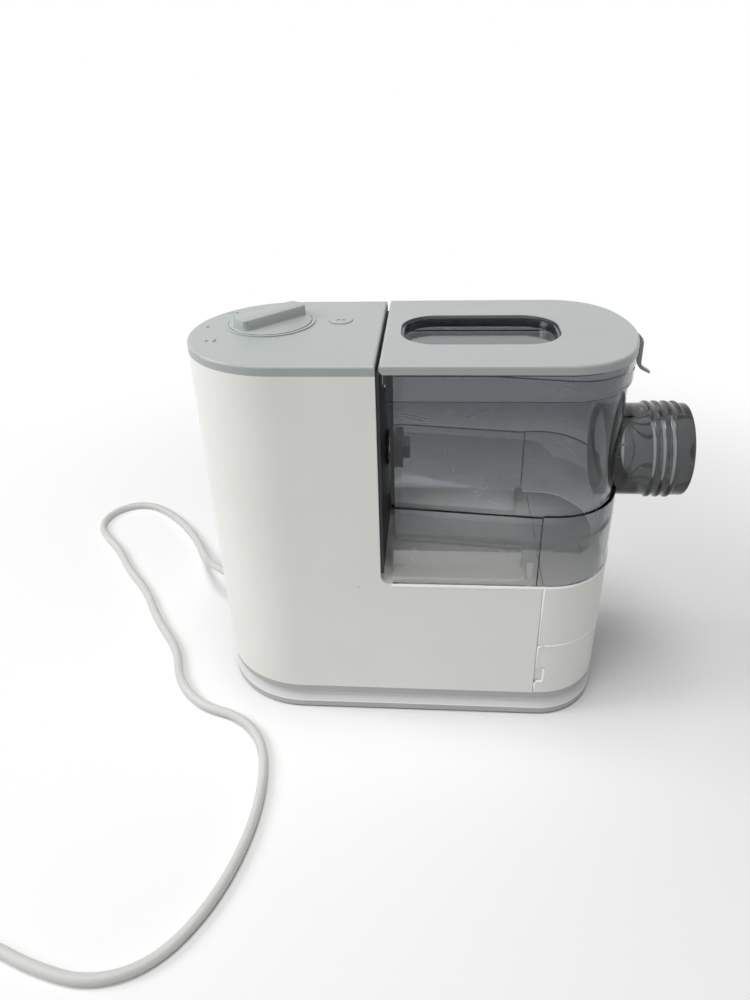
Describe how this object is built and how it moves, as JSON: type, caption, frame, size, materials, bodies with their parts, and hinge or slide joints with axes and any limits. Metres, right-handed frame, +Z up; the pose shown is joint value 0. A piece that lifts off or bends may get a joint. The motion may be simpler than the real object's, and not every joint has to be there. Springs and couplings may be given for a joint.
{
  "type": "pasta maker",
  "caption": "Compact countertop pasta maker with a drive column, slide-out smoky mixing chamber, hinged lid, program dial, threaded dough outlet and storage drawer.",
  "frame": {"origin": "on the table, below the middle of the machine's length and width, mains lead left out", "axes": "+X towards the dough outlet, +Y away from the user's side seen in the picture, +Z up"},
  "size_m": [0.5641, 0.5238, 0.297],
  "materials": {
    "white_plastic": "satin moulded",
    "grey_plastic": "satin moulded",
    "dark_grey_plastic": "satin moulded",
    "black_plastic": "matt moulded",
    "smoky_clear": "smoke tinted clear plastic",
    "clear_tube": "lightly tinted clear plastic",
    "tray_plastic": "satin moulded",
    "rubber": "matt",
    "nylon_gear": "moulded nylon",
    "steel": "turned",
    "motor_metal": "drawn steel",
    "bronze": "sintered",
    "circuit_board": "laminate",
    "lead_white": "soft moulded"
  },
  "bodies": {
    "machine": {"base_pan": "grey_plastic", "rubber_feet": "rubber", "housing_shell": "white_plastic", "nose_cover": "white_plastic", "drawer_rails": "black_plastic", "bulkhead": "black_plastic", "bay_pad": "white_plastic", "cradle_rails": "white_plastic", "locating_posts": "white_plastic", "control_panel": "grey_plastic", "dial_ring": "dark_grey_plastic", "button_switch": "black_plastic", "selector_switch": "black_plastic", "control_board": "circuit_board", "board_posts": "circuit_board", "board_relay": "black_plastic", "board_capacitor": "motor_metal", "lid_switch": "black_plastic", "motor_can": "motor_metal", "motor_bushes": "bronze", "motor_saddle": "black_plastic", "gear_plate_rear": "steel", "gear_plate_front": "steel", "gear_spacers": "steel", "gear_screws": "steel", "lay_bushes": "bronze", "drive_bushes": "bronze", "shaft_seal": "rubber", "strain_relief": "lead_white", "mains_lead": "lead_white", "plug_body": "lead_white", "plug_pins": "steel"},
    "drawer": {"drawer_front": "white_plastic", "drawer_tray": "tray_plastic"},
    "chamber": {"mixing_chamber": "smoky_clear", "chamber_bush": "black_plastic", "outlet_tube": "clear_tube"},
    "lid": {"lid_frame": "grey_plastic", "lid_window": "smoky_clear", "lid_seal": "rubber", "lid_tab": "dark_grey_plastic", "hinge_pins": "steel"},
    "dial": {"dial_knob": "dark_grey_plastic"},
    "button": {"start_button": "dark_grey_plastic"},
    "motor": {"motor_shaft": "steel", "motor_rotor": "motor_metal", "motor_pinion": "nylon_gear"},
    "layshaft": {"lay_shaft": "steel", "lay_wheel": "nylon_gear", "lay_pinion": "nylon_gear"},
    "drive": {"drive_shaft": "steel", "drive_wheel": "nylon_gear", "drive_dog": "nylon_gear"}
  },
  "joints": [
    {"name": "drive_spin", "type": "hinge", "parent": "machine", "child": "drive", "pos_m": [-0.063, 0, 0.2], "axis": [1, 0, 0], "continuous": true},
    {"name": "lay_spin", "type": "hinge", "parent": "machine", "child": "layshaft", "pos_m": [-0.063, 0, 0.1325], "axis": [1, 0, 0], "continuous": true},
    {"name": "motor_spin", "type": "hinge", "parent": "machine", "child": "motor", "pos_m": [-0.113, 0, 0.086], "axis": [1, 0, 0], "continuous": true},
    {"name": "chamber_slide", "type": "slide", "parent": "machine", "child": "chamber", "axis": [1, 0, 0], "range_m": [0, 0.12]},
    {"name": "lid_hinge", "type": "hinge", "parent": "chamber", "child": "lid", "pos_m": [-0.0348, 0, 0.2852], "axis": [0, -1, 0], "range_deg": [0, 70]},
    {"name": "drawer_slide", "type": "slide", "parent": "machine", "child": "drawer", "axis": [1, 0, 0], "range_m": [0, 0.09]},
    {"name": "dial_turn", "type": "hinge", "parent": "machine", "child": "dial", "pos_m": [-0.12, 0.0175, 0.2885], "axis": [0, 0, 1], "range_deg": [-60, 60]},
    {"name": "button_press", "type": "slide", "parent": "machine", "child": "button", "axis": [0, 0, -1], "range_m": [0, 0.0015], "stiffness_N_per_m": 600}
  ],
  "couplings": [
    {"joint": "lay_spin", "follows": "drive_spin", "ratio": -4},
    {"joint": "motor_spin", "follows": "drive_spin", "ratio": 18.545}
  ]
}
